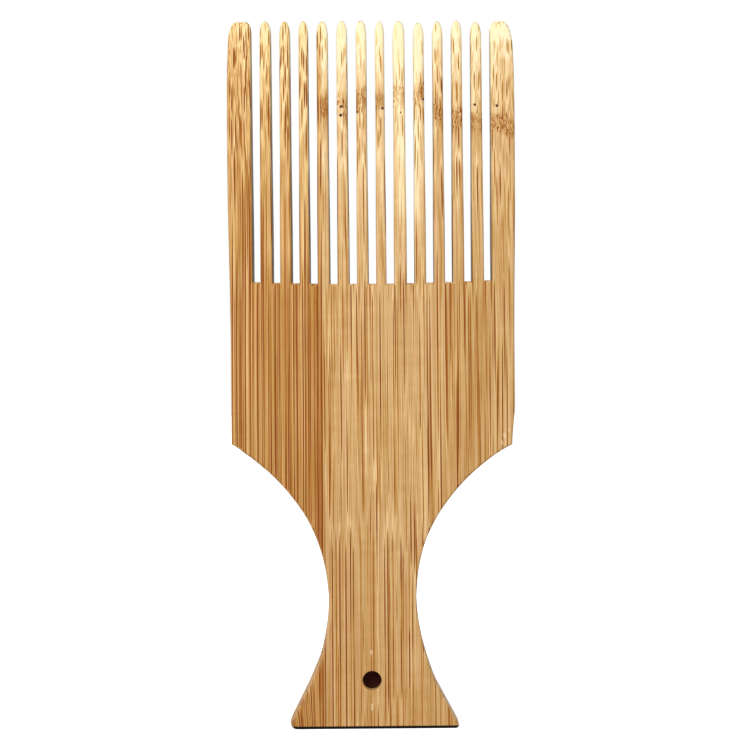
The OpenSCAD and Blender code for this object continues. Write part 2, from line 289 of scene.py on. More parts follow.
def tooth_limits(s, tooth, z):
    """Left and right side of a tooth, counted from 0 at the left, at a height."""
    top = s.height - TIP_DROP[tooth]
    half_gap = (s.gap_width + s.gap_widening * smooth_step(z, STUB_TOP, WIDE_FROM)) / 2
    left = gap_x(s, tooth) + half_gap if tooth else None
    right = gap_x(s, tooth + 1) - half_gap if tooth < GAPS else None

    def rounding(high):
        """How much of a corner's width is gone at this height, for a corner that is so high."""
        return 1 - math.sqrt(max(1 - max(0, (z - top + high) / high) ** 2, 0))

    if tooth in (0, GAPS):
        side = 1 if tooth else -1
        (inner_wide, inner_high), (outer_wide, outer_high) = RIGHT_GUARD if side > 0 else LEFT_GUARD
        outer = interpolate(z, SIDE_HEIGHTS, SIDE_HALF_WIDTHS)
        outer -= GUARD_FALL * smooth_step(z, GUARD_FALL_FROM, top)
        near = abs(left if tooth else right) + inner_wide * rounding(inner_high)
        far = outer - outer_wide * rounding(outer_high)
        return (near, far) if side > 0 else (-far, -near)
    rise = max(0, (z - top + s.point_length) / s.point_length)
    half = (right - left) / 2 * math.sqrt(max(1 - rise * rise, 0))
    middle = (left + right) / 2
    return middle - half, middle + half


def layer_at(s, tooth, z):
    """Half the thickness of a tooth at a height: the curve of the taper, then a round nose."""
    fall = s.height - s.taper_height
    drop = s.layer - s.tip_layer
    radius = (fall ** 2 + drop ** 2) / 2 / drop

    def face(height):
        return s.layer - radius + math.sqrt(radius ** 2 - max(height - s.taper_height, 0) ** 2)

    top = s.height - TIP_DROP[tooth]
    nose = face(top - s.tip_layer)
    into = z - (top - nose)
    if into <= 0:
        return face(z)
    return min(face(z), math.sqrt(max(nose ** 2 - into ** 2, TIP_HALF ** 2)))


def plate(s):
    """The handle, the head and the roots of the teeth as one board, open at the teeth.

    It starts as two faces that meet along a line through the hole and the middle gap."""
    bm = bmesh.new()
    made = {}

    def vertex(point):
        """The vertex at a point, which both faces share where they meet."""
        key = (round(point[0] / MM, 4), round(point[1] / MM, 4))
        if key not in made:
            made[key] = bm.verts.new((point[0], -s.layer, point[1]))
        return made[key]

    hole = (-s.hole_shift, s.hole_height)
    r = s.hole_diameter / 2
    middle = (GAPS + 1) // 2
    parting = (gap_x(s, middle), gap_floor(s, middle))

    def half(side, corner, gaps):
        """Outline from below the hole round one side, through its gaps, and down to the hole again."""
        points = [(hole[0], 0)] + side_outline(s, side, corner)
        for i in gaps:
            floor = gap_floor(s, i)
            for x, z in ((side, STUB_TOP), (side, floor), (-side, floor), (-side, STUB_TOP)):
                points.append((gap_x(s, i) + x * s.gap_width / 2, z))
        wall = parting[0] + side * s.gap_width / 2
        points += [(wall, STUB_TOP), (wall, parting[1]), parting]
        return points + arc(hole, r, math.pi / 2, -side * math.pi, HOLE_STEPS)

    right = half(1, RIGHT_CORNER, range(GAPS, middle, -1))
    left = half(-1, LEFT_CORNER, range(1, middle))
    faces = [bm.faces.new([vertex(p) for p in right]), bm.faces.new([vertex(p) for p in left][::-1])]
    bmesh.ops.recalc_face_normals(bm, faces=faces)
    grown = bmesh.ops.extrude_face_region(bm, geom=faces, use_keep_orig=True)["geom"]
    moved = [v for v in grown if isinstance(v, bmesh.types.BMVert)]
    bmesh.ops.translate(bm, verts=moved, vec=(0, 2 * s.layer, 0))
    bmesh.ops.recalc_face_normals(bm, faces=bm.faces[:])
    ends = [f for f in bm.faces if all(abs(v.co.z - STUB_TOP) < SAME_LEVEL for v in f.verts)]
    bmesh.ops.delete(bm, geom=ends, context="FACES_ONLY")
    return bm


def rim_edges(bm, wanted):
    """Edges between a face of the board and its walls, where a test picks their middle."""
    found = []
    for e in bm.edges:
        if len(e.link_faces) != 2:
            continue
        flat = sorted(abs(f.normal.y) for f in e.link_faces)
        if flat[0] < 0.5 < flat[1] and wanted((e.verts[0].co + e.verts[1].co) / 2):
            found.append(e)
    return found


def round_edges(bm, s):
    """Eases the sharp edges of the board, the mouths of the hole less than the rest."""

    def by_hole(point):
        return math.hypot(point.x + s.hole_shift, point.z - s.hole_height) < s.hole_diameter

    def ease(edges, width, segments):
        bmesh.ops.bevel(bm, geom=edges, offset=width, offset_type="OFFSET", segments=segments, profile=0.5,
                        affect="EDGES", clamp_overlap=False, material=-1)

    ease(rim_edges(bm, by_hole), MOUTH_ROUND, MOUTH_STEPS)
    ease(rim_edges(bm, lambda point: not by_hole(point)), s.edge_round, EDGE_STEPS)


def soften_flare(bm, s):
    """Widens the rounding of the left flare of the foot, which was sanded more than the rest."""
    outline = [Vector(p) for p in side_outline(s, -1, LEFT_CORNER)]
    for v in bm.verts:
        # Only the rounding is moved, with some play for the bevel
        inside = v.co.x > -s.waist_width / 2 or abs(v.co.y) < s.layer - 1.2 * s.edge_round
        if inside or v.co.z > FLARE_TO[1]:
            continue
        spot = Vector((v.co.x, v.co.z))
        near, inward = math.inf, None
        for p, q in zip(outline, outline[1:]):
            along = (q - p).normalized()
            reach = min(max((spot - p).dot(along), 0), (q - p).length)
            off = spot - p - along * reach
            if off.length < near:
                near, inward = off.length, Vector((along.y, -along.x))
        if near < 1.02 * s.edge_round:
            more = (smooth_step(v.co.z, *FLARE_FROM) * (1 - smooth_step(v.co.z, *FLARE_TO))
                    * (s.flare_round / s.edge_round - 1) * near)
            v.co.x += inward.x * more
            v.co.z += inward.y * more


def grow_teeth(bm, s):
    """Draws each tooth up from its root, ring by ring, to its rounded tip."""
    rims = [e for e in bm.edges if e.is_boundary]
    for tooth in range(GAPS + 1):
        low, high = tooth_limits(s, tooth, STUB_TOP)
        ring = [e for e in rims
                if low - ROOT_MARGIN < (e.verts[0].co.x + e.verts[1].co.x) / 2 < high + ROOT_MARGIN]
        middle, half = (low + high) / 2, (high - low) / 2
        r = s.edge_round
        # Where each vertex stands on its ring: its side and its share of the rounding, across and in depth
        place = {}
        for e in ring:
            for v in e.verts:
                across, deep = v.co.x - middle, v.co.y
                place[v] = (math.copysign(1, across), (abs(across) - half + r) / r,
                            math.copysign(1, deep), (abs(deep) - s.layer + r) / r)
        top = s.height - TIP_DROP[tooth]
        start = top - s.point_length - TIP_REACH
        heights = [STUB_TOP + (start - STUB_TOP) * k / SHAFT_RINGS for k in range(1, SHAFT_RINGS + 1)]
        heights += [start + (top - start) * math.sin(math.pi / 2 * k / TIP_RINGS)
                    for k in range(1, TIP_RINGS)]
        heights.append(top - LAST_RING)
        for z in heights:
            low, high = tooth_limits(s, tooth, z)
            middle, half = (low + high) / 2, (high - low) / 2
            thick = layer_at(s, tooth, z)
            soft = min(s.edge_round, ROUND_SHARE * half, ROUND_SHARE * thick)
            grown = bmesh.ops.extrude_edge_only(bm, edges=ring)["geom"]
            ring = [e for e in grown if isinstance(e, bmesh.types.BMEdge)]
            moved = {}
            for v in (v for v in grown if isinstance(v, bmesh.types.BMVert)):
                below = next(e.other_vert(v) for e in v.link_edges if e.other_vert(v) in place)
                side, u, face, w = moved[v] = place[below]
                v.co = (middle + side * (half - soft + u * soft), face * (thick - soft + w * soft), z)
            ring = [e for e in ring if e.verts[0] in moved and e.verts[1] in moved]
            place = moved
        bmesh.ops.edgeloop_fill(bm, edges=ring)


def whole_comb(s):
    """The comb in one piece, before the seams part it into strips."""
    bm = plate(s)
    round_edges(bm, s)
    soften_flare(bm, s)
    grow_teeth(bm, s)
    bmesh.ops.recalc_face_normals(bm, faces=bm.faces[:])
    return bm


def cut_away(bm, point, normal):
    """Cuts the mesh along a plane, drops what lies on the normal's side, and closes the cut."""
    geom = bm.verts[:] + bm.edges[:] + bm.faces[:]
    cut = bmesh.ops.bisect_plane(bm, geom=geom, dist=SAME_PLANE, plane_co=point, plane_no=normal,
                                 clear_outer=True, clear_inner=False)["geom_cut"]
    edges = [e for e in cut if isinstance(e, bmesh.types.BMEdge) and e.is_boundary]
    if edges:
        bmesh.ops.triangle_fill(bm, use_beauty=True, use_dissolve=False, edges=edges, normal=normal)


def add_strip(name, body_mesh, cuts, material):
    """One strip of the board, cut from the whole comb, in place of its CAD node."""
    bm = bmesh.new()
    bm.from_mesh(body_mesh)
    for point, normal in cuts:
        cut_away(bm, point, normal)
    bmesh.ops.remove_doubles(bm, verts=bm.verts[:], dist=SAME_POINT)
    bmesh.ops.recalc_face_normals(bm, faces=bm.faces[:])
    for f in bm.faces:
        f.smooth = True
    for e in bm.edges:
        if len(e.link_faces) == 2 and e.calc_face_angle() > SHARP:
            e.smooth = False
    mesh = bpy.data.meshes.new(name)
    bm.to_mesh(mesh)
    bm.free()
    strip = bpy.data.objects.new(name, mesh)
    bpy.context.scene.collection.objects.link(strip)
    mesh.materials.append(material)
    shading = strip.modifiers.new("flat_faces", "WEIGHTED_NORMAL")
    shading.keep_sharp = True
    shading.weight = FLAT_WEIGHT
    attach(strip, "root")
    return strip


class Wire:
    """An output socket or a number in a shader, on which Python's operators add Math nodes."""

    def __init__(self, shader, value):
        self.shader, self.value = shader, value

    def _math(self, operation, *values):
        return self.shader.node("ShaderNodeMath", {"operation": operation}, *values)

    def __add__(self, other):
        return self._math("ADD", self, other)

    def __radd__(self, other):
        return self._math("ADD", other, self)

    def __sub__(self, other):
        return self._math("SUBTRACT", self, other)

    def __rsub__(self, other):
        return self._math("SUBTRACT", other, self)

    def __mul__(self, other):
        return self._math("MULTIPLY", self, other)

    def __rmul__(self, other):
        return self._math("MULTIPLY", other, self)

    def __truediv__(self, other):
        return self._math("DIVIDE", self, other)

    def __rtruediv__(self, other):
        return self._math("DIVIDE", other, self)

    def __abs__(self):
        return self._math("ABSOLUTE", self)

    def larger(self, other):
        return self._math("MAXIMUM", self, other)

    def between(self, low, high, to_low=0, to_high=1, smooth=True):
        """Maps low to high onto a new range, and holds the ends."""
        kind = "SMOOTHSTEP" if smooth else "LINEAR"
        return self.shader.node("ShaderNodeMapRange", {"interpolation_type": kind, "clamp": True},
                                self, low, high, to_low, to_high)


class Shader:
    """A material's node tree."""

    def __init__(self, name):
        self.material = bpy.data.materials.new(name)
        self.material.use_nodes = True
        self.tree = self.material.node_tree
        self.tree.nodes.clear()
        self.output = self.tree.nodes.new("ShaderNodeOutputMaterial")

    def node(self, kind, settings=None, *values, out=0, **named):
        """Adds a node, applies its settings, and feeds its sockets in order or by name."""
        made = self.tree.nodes.new(kind)
        for key, value in (settings or {}).items():
            if key == "stops":
                ramp = made.color_ramp
                while len(ramp.elements) < len(value):
                    ramp.elements.new(0.5)
                for element, (place, colour) in zip(ramp.elements, value):
                    element.position, element.color = place, (*colour, 1)
            else:
                setattr(made, key, value)
        sockets = [i for i in made.inputs if i.enabled]
        by_name = [(made.inputs[key.replace("_", " ")], value) for key, value in named.items()]
        for socket, value in list(zip(sockets, values)) + by_name:
            if value is None:
                continue
            if isinstance(value, Wire):
                self.tree.links.new(value.value, socket)
            elif hasattr(socket.default_value, "__len__") and hasattr(value, "__len__"):
                socket.default_value = (*value, 1) if len(socket.default_value) == 4 else value
            else:
                socket.default_value = value
        outputs = [o for o in made.outputs if o.enabled]
        return Wire(self, outputs[out] if isinstance(out, int) else made.outputs[out])

    def coordinates(self):
        """Object coordinates in millimetres."""
        place = self.node("ShaderNodeTexCoord", out="Object")
        return self.node("ShaderNodeVectorMath", {"operation": "SCALE"}, place, Scale=1 / MM)

    def parts(self, vector):
        return [self.node("ShaderNodeSeparateXYZ", None, vector, out=k) for k in range(3)]

    def vector(self, x, y, z):
        return self.node("ShaderNodeCombineXYZ", None, x, y, z)

    def noise(self, vector, scale=1.0, detail=2.0, roughness=0.5, out="Fac"):
        return self.node("ShaderNodeTexNoise", {"noise_dimensions": "3D"}, Vector=vector, Scale=scale,
                         Detail=detail, Roughness=roughness, out=out)

    def cells(self, x, y):
        """Distance to the middle of the nearest of many scattered cells, and two tones of that cell."""
        near = self.node("ShaderNodeTexVoronoi", {"voronoi_dimensions": "2D", "feature": "F1"},
                         Vector=self.vector(x, y, 0), Scale=1.0, Randomness=0.9, out="Distance")
        return [near] + self.parts(Wire(self, near.value.node.outputs["Color"]))[:2]

    def mix(self, factor, a, b, kind="MIX"):
        """Mixes two colours."""
        return self.node("ShaderNodeMix", {"data_type": "RGBA", "blend_type": kind, "clamp_factor": True},
                         factor, a, b)

    def distance(self, a, b):
        return self.node("ShaderNodeVectorMath", {"operation": "DISTANCE"}, a, b, out="Value")

    def finish(self, surface):
        """Links the shader that shows, and hands over the material."""
        self.tree.links.new(surface.value, self.output.inputs["Surface"])
        return self.material


# Places in the bamboo's patterns, in millimetres
FACE = 4  # from the seam between the layers to the front or the back face
TEETH_FOOT, TEETH_TOP = 108, 178  # the colour is painted paler between these heights, a painted highlight of the light from above on the teeth
TAPER_FOOT, TAPER_TOP, TAPER_DEPTH = 128, 180, 2.7  # where the faces curve inward, and how far
WALL_SHADE_HEIGHTS = (112.4, 113.0)  # the painted shade of the gap walls sets in between these heights
GUARDS = (32.5, 31.5)  # and between these distances from the middle line, going inward
SIDES = (33.6, 34.2)  # beside the gaps, the painted grey shade of the outer rim sets in between these
BUMP = 0.06 * MM  # how high the relief of the fibres is


def bamboo(name, look, grain):
    """Solid bamboo: fibre bundles that run up the comb, so that a flat face shows long lines,
    a sloping face short dashes, and an end dots."""
    sh = Shader(name)
    x, y, z = sh.parts(sh.coordinates())
    seed = grain["seed"]

    # The knuckle of the cane, where the fibres swirl
    uneven = sh.noise(sh.vector(x * 0.22 + seed, y * 0.3, seed * 1.7), 1.0, 1.0)
    above = z - grain["knuckle"] - x * grain["knuckle_slope"] - (uneven - 0.5) * 8
    knuckle = abs(above).between(3.6, 1.0) * grain["knuckle_share"]
    freckled = knuckle * grain["freckles"]
    swirl_x, swirl_y, _ = sh.parts(sh.noise(
        sh.vector(x * 0.6, y * 0.6 + seed, z * 0.5), 1.0, 2.0, out="Color"))

    # Fibres bow through the strip and drift a little sideways, and those of the flare lean
    drift = sh.noise(sh.vector(x * 0.04 + seed, y * 0.05, z * 0.011), 1.0, 1.0)
    flare = z.between(25, 0, 0, 25, smooth=False) * x.between(-13, -20) * grain["flare_lean"]
    bow = sh.noise(sh.vector(seed * 3.1, x * 0.06, z * grain["bow_rate"]), 1.0, 1.0)
    across = x + z * grain["lean"] + (drift - 0.5) * 0.9 + (swirl_x - 0.5) * freckled * 2.6 - flare
    teeth = z.between(TEETH_FOOT, TEETH_TOP + 5, 0, grain["teeth_bend"], smooth=False)
    # Squashing the depth stretches the dashes on sloping faces, and leaves the front face as it is
    squashed = (y + FACE) * grain["squash"] - FACE + grain["slice"]
    deep = (squashed + z * grain["tilt"] + teeth + (bow - 0.5) * grain["bow"]
            + (swirl_y - 0.5) * freckled * 2.6)

    # Bundles of fibres, with a pale sheath, and finer fibres between them
    density = grain["density"]
    bundle_d, tone_a, tone_b = sh.cells(across * density + seed * 5.3, deep * density)
    fade = sh.noise(sh.vector(tone_a * 37, tone_b * 23, z * 0.03 + seed), 1.0, 2.0)
    strength = tone_a.between(0.1, 0.9, 0.25, 1.0, smooth=False) * fade.between(0.36, 0.6, 0.3, 1.05)
    bundle = bundle_d.between(0.22 * density, 0.12 * density) * strength
    sheath = bundle_d.between(0.42 * density, 0.25 * density) * strength - bundle
    fine_d, fine_a, _ = sh.cells(across * density * 2.3 + seed * 2.9, deep * density * 2.3)
    fine = fine_d.between(0.5, 0.15) * fine_a

    # Ground tissue, from broad bands to short flecks, along straighter lines than the bundles
    level = (y + (deep - y) * 0.35 + FACE) * 0.6 - FACE
    broad = sh.noise(sh.vector(across * 0.3 + seed * 7.7, level * 0.3, z * 0.008), 1.0, 1.0)
    streak = sh.noise(sh.vector(across * 1.2 + seed, level * 1.2, z * 0.014), 1.0, 2.0, 0.6)
    thread = sh.noise(sh.vector(across * 3.4 + seed, level * 3.4, z * 0.035), 1.0, 2.0, 0.6)
    fleck = sh.noise(sh.vector(across * 4.2, deep * 4.2 + seed, z * 0.5), 1.0, 2.0, 0.6)
    bars = sh.noise(sh.vector(x * 0.12 + seed, y * 0.1, z * 0.3), 1.0, 2.0, 0.6)

    # Marks darken: bundles, strong lines at their places, and the freckles and stains of the knuckle
    marks = bundle * grain["bundle"] + fine * grain["fine"]
    for line_x, low, high, half, strong in grain["lines"]:
        near = abs(x - line_x).between(half, half * 0.3)
        marks = marks + near * z.between(low, low + 5) * z.between(high, high - 5) * strong
    speckle = sh.noise(sh.vector(x * 1.6, y * 1.6, z * 0.8 + seed), 1.0, 3.0, 0.65)
    marks = marks + freckled * (speckle.between(0.44, 0.64) * 0.38)
    marks = marks + knuckle * (streak.between(0.3, 0.7) * 0.24 + 0.08)
    run = above.between(-12, -1) * above.between(7, 0) * grain["knuckle_share"]
    marks = marks + run * (streak.between(0.36, 0.6) * 0.5)

    # Tone, from 0 for the darkest fibres to 1 for the palest tissue. Marks darken the teeth less
    # Painted highlight: the tone rises towards the tips of the teeth, where the light from above falls most
    rise = z.between(TEETH_FOOT, TEETH_TOP, smooth=False)
    tone = rise * grain["rise"] + grain["tone"]
    ground = {"broad": broad, "streak": streak, "thread": thread, "fleck": fleck, "bars": bars}
    for key, pattern in ground.items():
        tone = tone + (pattern - 0.5) * grain[key]
    # Painted highlight: the tips are painted paler still; painted shade darkens the tone towards the foot
    tone = (tone + sheath * grain["sheath"] - z.between(85, 0) * 0.065 + z.between(162, 179) * grain["tip"]
            + z.between(173, 178.5) * 0.16)
    for low_x, high_x, low, high, more in grain["patches"]:
        inside = x.between(low_x, low_x + 2) * x.between(high_x, high_x - 2)
        tone = tone + inside * z.between(low, low + 8) * z.between(high, high - 8) * more
    tone = tone - marks * (1 - rise * grain["fade"] - z.between(50, 5) * 0.22)
    stops = ((0.0, look.darkest), (0.21, look.fibre), (0.46, look.amber), (0.59, look.tan),
             (0.72, look.pale), (0.875, look.light), (1.0, look.cream))
    colour = sh.node("ShaderNodeValToRGB", {"stops": stops}, tone, out="Color")

    # Hues: reddish and greyer threads beside the bundles, redder bundles, and the tints of the whole
    blush, straw, _ = sh.parts(sh.noise(
        sh.vector(across * 1.5 + seed * 2, level * 1.5, z * 0.03), 1.0, 2.0, 0.6, out="Color"))
    blushing = blush.between(0.5, 0.64) * (1 - bundle) * (1 - rise * 0.8)
    colour = sh.mix(blushing * 0.3, colour, tuple(look.blush))
    greying = straw.between(0.5, 0.64) * (1 - bundle) * (1 - rise)
    colour = sh.mix(greying * 0.34, colour, tuple(look.straw))
    colour = sh.mix(bundle * tone_b.between(0.45, 0.9) * (1 - freckled) * 0.45, colour, tuple(look.ember))
    colour = sh.mix(bundle * 0.95, colour, tuple(look.resin), kind="MULTIPLY")
    colour = sh.mix(grain["warmth"], colour, tuple(look.warm), kind="MULTIPLY")

    # Painted shade on the walls of the gaps and on the outer rim of the comb, with a painted grey shade on
    # the rounding of that rim
    taper = z.between(TAPER_FOOT, TAPER_TOP, smooth=False)
    under = FACE - taper * taper * TAPER_DEPTH - abs(y)
    wall = under.between(0.5, 0.85) * abs(x).between(*GUARDS) * z.between(*WALL_SHADE_HEIGHTS)
    # Painted shade: how strongly the walls of the gaps are darkened, more deep in the gaps
    wall_shade_share = z.between(145, 118) * 0.25 + grain["wall_shade"]
    colour = sh.mix(wall * wall_shade_share, colour, tuple(look.wall_shade))
    below = abs(x).between(8, 9) * z.between(112, 110)
    outer = below.larger(abs(x).between(*SIDES)) * z.between(150, 120)
    colour = sh.mix(under.between(0.08, 0.35) * outer * 0.4, colour, tuple(look.rim))
    colour = sh.mix(under.between(0.35, 0.75) * outer * 0.25, colour, tuple(look.wall_shade))

    # Flakes of dried glue, pits of the knuckle painted dark for the shade inside them with a pale swirl
    # beside them, glue in the seams, and painted shade along the lower rim of the foot
    front = y.between(0, -0.5)
    for flake_x, flake_z, wide, high in grain["flakes"]:
        off_x, off_z = abs(x - flake_x) / wide, abs(z - flake_z) / high
        flake = (off_x * off_x + off_z * off_z + speckle * 2.4).between(1.9, 1.3)
        colour = sh.mix(flake * front * 0.4, colour, tuple(look.cream))
    pits = None
    for pit_x, pit_z, pit_r in grain["pits"]:
        off = sh.distance(sh.vector(x, 0, z), (pit_x, 0, pit_z))
        pit = off.between(pit_r * 0.98, pit_r * 0.5)
        beside = sh.distance(sh.vector(x, 0, z * 0.7), (pit_x - 0.2, 0, (pit_z - 1.0) * 0.7))
        swirl = beside.between(pit_r * 2.3, pit_r * 1.2)
        colour = sh.mix(swirl * front * 0.55, colour, tuple(look.light))
        pits = pit if pits is None else pits.larger(pit)
    # Painted shade: each pit is drawn dark for the shade inside it, and the bump only dents it
    if pits is not None:
        colour = sh.mix(pits * front, colour, tuple(look.pit))
    glue = abs(y).between(0.09, 0.02) * 0.55
    for seam in grain["seams"]:
        glue = glue.larger(abs(x - seam).between(0.12, 0.02) * 0.25)
    colour = sh.mix(glue, colour, tuple(look.glue))
    # Painted shade along the lower rim of the foot, where it turns away from the light towards the floor
    foot_shade_mask = z.between(0.88, 0.7)
    colour = sh.mix(foot_shade_mask, colour, tuple(look.foot_shade))

    rough = look.roughness + (streak - 0.5) * 0.16 - marks * 0.05 + foot_shade_mask * 0.5
    height = thread * 0.5 - bundle * 0.6 - fine * 0.3
    if pits is not None:
        height = height - pits * 3
    bump = sh.node("ShaderNodeBump", None, Strength=0.35, Distance=BUMP, Height=height)
    return sh.finish(sh.node("ShaderNodeBsdfPrincipled", None, Base_Color=colour, Roughness=rough,
                             Normal=bump, Specular_IOR_Level=0.2, out="BSDF"))


# What may differ from strip to strip, with places in millimetres. A line is x, lowest and highest z,
# half width, strength. A patch is lowest and highest x, lowest and highest z, how much paler it is.
# A flake is x, z, half width, half height. A pit is x, z, radius. A seam is x.
GRAIN = {
    "seed": 0.0, "density": 1.55, "bow": 0.6, "bow_rate": 0.02, "lean": 0.0, "flare_lean": 0.0,
    "tilt": 0.0, "teeth_bend": 1.0, "squash": 1.0, "slice": 0.0,
    "knuckle": 158.0, "knuckle_slope": 0.0, "knuckle_share": 1.0, "freckles": 1.0,
    "tone": 0.55, "rise": 0.29, "tip": 0.19, "fade": 0.35, "warmth": 0.0, "wall_shade": 0.7,
    "broad": 0.2, "streak": 0.4, "thread": 0.4, "fleck": 0.14, "bars": 0.08,
    "bundle": 0.9, "fine": 0.32, "sheath": 0.2,
    "lines": (), "patches": (), "flakes": (), "pits": (), "seams": (),
}


def grain(**changes):
    return {**GRAIN, **changes}


class HairPickOperator:
    """What the operators for the strips share."""
    bl_options = {"REGISTER", "UNDO"}

    def comb_mesh(self, context):
        """The mesh of the whole comb, made once and kept for all the strips."""
        mesh = bpy.data.meshes.get("whole_comb")
        if mesh is None:
            bm = whole_comb(context.scene.comb_sizes)
            mesh = bpy.data.meshes.new("whole_comb")
            bm.to_mesh(mesh)
            bm.free()
        return mesh


def seam_cuts(side, left=None, right=None, above=None, below=None):
    """Planes that cut one strip out: side -1 for the front layer, 1 for the back one."""
    cuts = [((0, 0, 0), (0, -side, 0))]
    if left is not None:
        cuts.append(((left, 0, 0), (-1, 0, 0)))
    if right is not None:
        cuts.append(((right, 0, 0), (1, 0, 0)))
    if above is not None:
        cuts.append(((0, 0, above), (0, 0, -1)))
    if below is not None:
        cuts.append(((0, 0, below), (0, 0, 1)))
    return cuts


class HAIRPICK_OT_front_strips(HairPickOperator, bpy.types.Operator):
    """Builds the strips of the front layer and the two corners of the foot"""
    bl_idname = "hairpick.front_strips"
    bl_label = "Front Strips"

    def execute(self, context):
        s, look = context.scene.comb_sizes, context.scene.bamboo_look
        mesh = self.comb_mesh(context)
        left = gap_x(s, 4) + s.gap_width / 2 + LEFT_SEAM
        right = gap_x(s, 10) - s.gap_width / 2 + SEAM_IN_GAP
        waist = s.waist_height
        seams = (left / MM, right / MM)
        amber = bamboo("bamboo_front_left", look, grain(
            seed=1.3, density=1.9, bow=0.28, bow_rate=0.014, lean=-0.004, flare_lean=0.14,
            teeth_bend=0.5, squash=0.7, knuckle_share=0.0, tone=0.508, rise=0.26, tip=0.09, fade=0.2,
            warmth=0.9, streak=0.62, fleck=0.08, bundle=1.25, fine=0.46, seams=seams,
            lines=((-13.8, 5, 178, 1.6, 0.1),),
            patches=((-29.5, -13, 114, 190, 0.12),)))
        pale = bamboo("bamboo_front_middle", look, grain(
            seed=4.1, density=1.5, bow=0.9, bow_rate=0.03, tilt=0.01, teeth_bend=0.5, squash=0.7,
            slice=1.2, knuckle=159.2, knuckle_slope=0.15, freckles=0.6, tone=0.612, rise=0.33, tip=0.15,
            fade=0.5, broad=0.12, streak=0.3, thread=0.34, bars=0.16, bundle=0.92, fine=0.3, seams=seams,
            lines=((-0.5, 87, 114, 0.28, 0.3), (-3.0, 18, 31, 0.28, 0.3)),
            patches=((5.5, 13.5, 126, 190, 0.2),),
            flakes=((-1.0, 19.6, 0.5, 0.9), (-0.9, 5.6, 0.4, 1.4)),
            pits=((-7.5, 157.7, 0.5), (-7.6, 155.5, 0.56), (-3.4, 156.3, 0.42), (3.0, 157.2, 0.48),
                  (7.6, 156.1, 0.28), (13.4, 159.4, 0.46))))
        tan = bamboo("bamboo_front_right", look, grain(
            seed=7.9, tilt=0.005, squash=0.7, slice=1.2, knuckle=158.2, knuckle_slope=-0.17,
            knuckle_share=0.5, freckles=1.4, tone=0.545, streak=0.45, fleck=0.1, bundle=1.0, fine=0.38,
            seams=seams,
            lines=((12.9, 88, 111, 0.6, 0.2), (34.3, 71.5, 76.5, 0.2, 0.3)),
            flakes=((33.2, 73.9, 0.6, 1.5), (34.3, 75.6, 0.4, 1.0), (32.5, 72.2, 0.4, 0.8)),
            pits=((26.4, 157.9, 0.46), (32.0, 157.6, 0.5))))
        parts = (
            ("bamboo_strip_left", seam_cuts(-1, right=left, above=waist), amber, "bamboo_amber",
             "front_left_strip"),
            ("bamboo_corner_left", seam_cuts(-1, right=left, below=waist), amber, "bamboo_amber",
             "front_left_foot_corner"),
            ("bamboo_strip_middle", seam_cuts(-1, left=left, right=right), pale, "bamboo_pale",
             "front_middle_strip"),
            ("bamboo_strip_right", seam_cuts(-1, left=right, above=waist), tan, "bamboo_tan",
             "front_right_strip"),
            ("bamboo_corner_right", seam_cuts(-1, left=right, below=waist), tan, "bamboo_tan",
             "front_right_foot_corner"),
        )
        for name, cuts, material, slot, node in parts:
            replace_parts(add_strip(name, mesh, cuts, material), node)
        return {"FINISHED"}


class HAIRPICK_OT_back_strips(HairPickOperator, bpy.types.Operator):
    """Builds the four strips of the back layer"""
    bl_idname = "hairpick.back_strips"
    bl_label = "Back Strips"

    def execute(self, context):
        s, look = context.scene.comb_sizes, context.scene.bamboo_look
        mesh = self.comb_mesh(context)
        first = gap_x(s, 2) - s.gap_width / 2 + SEAM_IN_GAP
        second = gap_x(s, 8)
        third = gap_x(s, 13)
        seams = tuple(v / MM for v in (first, second, third))
        tan = bamboo("bamboo_back_left", look, grain(
            seed=11.7, bow=0.3, knuckle=92, freckles=0.7, seams=seams))
        pale = bamboo("bamboo_back_middle", look, grain(
            seed=14.2, density=1.5, bow=0.9, tilt=-0.01, knuckle=98, freckles=0.6, tone=0.63, bars=0.16,
            fine=0.3, seams=seams))
        amber = bamboo("bamboo_back_right", look, grain(
            seed=18.6, density=1.9, bow=0.25, knuckle_share=0.0, tone=0.5, warmth=0.9, streak=0.55,
            seams=seams))
        edge = bamboo("bamboo_back_edge", look, grain(
            seed=22.4, density=1.45, knuckle=140, freckles=0.7, tone=0.61, seams=seams))
        parts = (
            ("bamboo_back_strip_left", seam_cuts(1, right=first), tan, "bamboo_tan", "back_left_strip"),
            ("bamboo_back_strip_middle", seam_cuts(1, left=first, right=second), pale, "bamboo_pale",
             "back_middle_strip"),
            ("bamboo_back_strip_right", seam_cuts(1, left=second, right=third), amber, "bamboo_amber",
             "back_right_strip"),
            ("bamboo_back_strip_edge", seam_cuts(1, left=third), edge, "bamboo_pale", "back_edge_strip"),
        )
        for name, cuts, material, slot, node in parts:
            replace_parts(add_strip(name, mesh, cuts, material), node)
        return {"FINISHED"}


# The stage, in metres
FLOOR_HALF = 6  # half the side of the floor
FLOOR_FADE = (0.05, 0.4)  # the floor turns from light grey to white between these distances
LAMP_AIM = (0, 0, 0.09)
KEY_PLACE, KEY_SIZE = (-0.45, -0.75, 0.75), 0.55
FILL_PLACE, FILL_SIZE = (0.8, -0.7, 0.35), 0.6
CAMERA_PLACE = (3.9 * MM, 86 * MM)  # across and up
CAMERA_ROLL = math.radians(0.487)
CAMERA_SEES = (0.01, 30)  # nearest and farthest that it sees
SENSOR = 36  # width of its sensor in millimetres
SHADE_DEPTH = 0.9 * MM  # how far in front of the seam the shade in the hole stands
SHADE_MARGIN = 0.1 * MM  # how far it reaches into the wood, so that no light gets past its edge
SHADE_SIDES = 32
SHADE = linear(58, 30, 28)
PAPER = (0.8, 0.8, 0.8)
GLOW_NEAR, GLOW_FAR = (0.62, 0.62, 0.62), (1, 1, 1)  # glow of the floor at the comb and away from it
GLOW = 1.19  # strength of that glow


